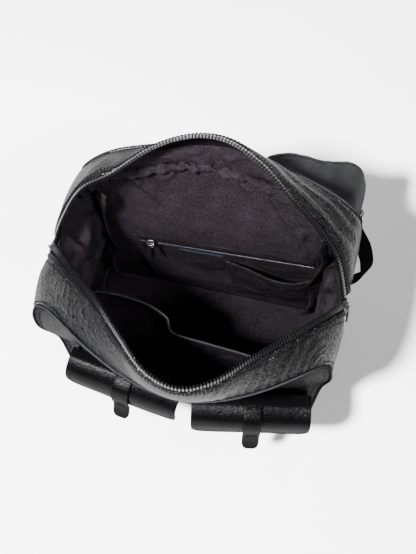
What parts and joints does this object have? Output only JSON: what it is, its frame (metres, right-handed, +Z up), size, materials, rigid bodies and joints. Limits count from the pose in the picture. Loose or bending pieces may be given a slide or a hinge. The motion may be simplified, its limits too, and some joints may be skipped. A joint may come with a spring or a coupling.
{
  "type": "backpack",
  "caption": "Black pebbled leather backpack standing unzipped and open, with lined inside pockets, two flap pockets in front, a carry handle and padded straps.",
  "frame": {"origin": "under the middle of the base, on the surface it stands on", "axes": "+Z up, -Y towards the front pockets, +Y towards the wearer's back, +X to the right seen from the front"},
  "size_m": [0.3496, 0.3237, 0.4021],
  "materials": {
    "pebbled_leather": "pebbled black leather, semi-gloss",
    "smooth_leather": "smooth black leather, glossy",
    "twill_lining": "cotton twill, matte",
    "zip_tape": "woven polyester tape, matte",
    "dark_nickel": "black nickel plate, polished",
    "webbing": "woven nylon webbing",
    "foam": "closed-cell foam, matte",
    "base_board": "stiffening board, matte",
    "label": "smooth grey-blue leather, satin"
  },
  "bodies": {
    "bag": {"front_panel": "pebbled_leather", "back_panel": "pebbled_leather", "base_panel": "pebbled_leather", "side_panel_left": "pebbled_leather", "side_panel_right": "pebbled_leather", "front_mouth_band": "pebbled_leather", "back_mouth_band": "pebbled_leather", "front_piping": "pebbled_leather", "back_piping": "pebbled_leather", "base_board": "base_board", "back_foam": "foam", "front_lining": "twill_lining", "back_lining": "twill_lining", "side_lining_left": "twill_lining", "side_lining_right": "twill_lining", "base_lining": "twill_lining", "front_band_lining": "twill_lining", "back_band_lining": "twill_lining", "front_zip_tape": "zip_tape", "back_zip_tape": "zip_tape", "front_zip_teeth": "dark_nickel", "back_zip_teeth": "dark_nickel", "zip_end_left": "pebbled_leather", "zip_end_right": "pebbled_leather", "inner_zip_tape": "zip_tape", "inner_zip_teeth": "dark_nickel", "inner_pocket_bag": "twill_lining", "sleeve_panel": "twill_lining", "label_patch": "label", "organizer_panel": "twill_lining", "pocket_left": "pebbled_leather", "pocket_right": "pebbled_leather", "snap_socket_left": "dark_nickel", "snap_socket_right": "dark_nickel", "back_yoke": "pebbled_leather", "lower_tab_left": "pebbled_leather", "lower_tab_right": "pebbled_leather"},
    "slider_left": {"slider_left": "dark_nickel"},
    "puller_left": {"puller_left": "smooth_leather"},
    "slider_right": {"slider_right": "dark_nickel"},
    "puller_right": {"puller_right": "smooth_leather"},
    "slider_inner": {"inner_slider": "dark_nickel"},
    "puller_inner": {"inner_puller": "dark_nickel"},
    "flap_left": {"flap_left": "smooth_leather", "strap_left": "smooth_leather", "snap_cap_left": "dark_nickel"},
    "flap_right": {"flap_right": "smooth_leather", "strap_right": "smooth_leather", "snap_cap_right": "dark_nickel"},
    "handle": {"carry_handle": "pebbled_leather"},
    "shoulder_strap_left": {"shoulder_pad_left": "pebbled_leather", "webbing_left": "webbing"},
    "shoulder_strap_right": {"shoulder_pad_right": "pebbled_leather", "webbing_right": "webbing"},
    "adjuster_left": {"adjuster_left": "dark_nickel"},
    "adjuster_right": {"adjuster_right": "dark_nickel"}
  },
  "joints": [
    {"name": "slide_zip_left", "type": "slide", "parent": "bag", "child": "slider_left", "axis": [0.0349, 0, -0.9994], "range_m": [0, 0.014]},
    {"name": "swing_puller_left", "type": "hinge", "parent": "slider_left", "child": "puller_left", "pos_m": [-0.15694, -0.018, 0.30706], "axis": [0, 1, 0], "range_deg": [0, 150]},
    {"name": "slide_zip_right", "type": "slide", "parent": "bag", "child": "slider_right", "axis": [-0.0349, 0, -0.9994], "range_m": [0, 0.014]},
    {"name": "swing_puller_right", "type": "hinge", "parent": "slider_right", "child": "puller_right", "pos_m": [0.15694, -0.015, 0.30706], "axis": [0, -1, 0], "range_deg": [0, 150]},
    {"name": "slide_inner_zip", "type": "slide", "parent": "bag", "child": "slider_inner", "axis": [0.9903, 0, 0.1392], "range_m": [0, 0.182]},
    {"name": "swing_inner_puller", "type": "hinge", "parent": "slider_inner", "child": "puller_inner", "pos_m": [-0.07411, 0.05315, 0.17342], "axis": [-0.9903, 0, -0.1392], "range_deg": [0, 150]},
    {"name": "open_flap_left", "type": "hinge", "parent": "bag", "child": "flap_left", "pos_m": [-0.063, -0.098, 0.182], "axis": [-0.9883, 0.1528, 0], "range_deg": [0, 50]},
    {"name": "open_flap_right", "type": "hinge", "parent": "bag", "child": "flap_right", "pos_m": [0.077, -0.09707, 0.182], "axis": [-0.9838, -0.1794, 0], "range_deg": [0, 50]},
    {"name": "swing_handle", "type": "hinge", "parent": "bag", "child": "handle", "pos_m": [0, 0.11794, 0.325], "axis": [1, 0, 0], "range_deg": [0, 110]},
    {"name": "swing_strap_left", "type": "hinge", "parent": "bag", "child": "shoulder_strap_left", "pos_m": [-0.034, 0.108, 0.289], "axis": [-0.3588, -0.0861, -0.9294], "range_deg": [-8, 9]},
    {"name": "swing_strap_right", "type": "hinge", "parent": "bag", "child": "shoulder_strap_right", "pos_m": [0.034, 0.108, 0.288], "axis": [0.3853, -0.0642, -0.9205], "range_deg": [-30, 0]},
    {"name": "slide_adjuster_left", "type": "slide", "parent": "shoulder_strap_left", "child": "adjuster_left", "axis": [-0.147, -0.0835, -0.9856], "range_m": [0, 0.024]},
    {"name": "slide_adjuster_right", "type": "slide", "parent": "shoulder_strap_right", "child": "adjuster_right", "axis": [0.242, -0.0682, -0.9679], "range_m": [0, 0.024]}
  ]
}
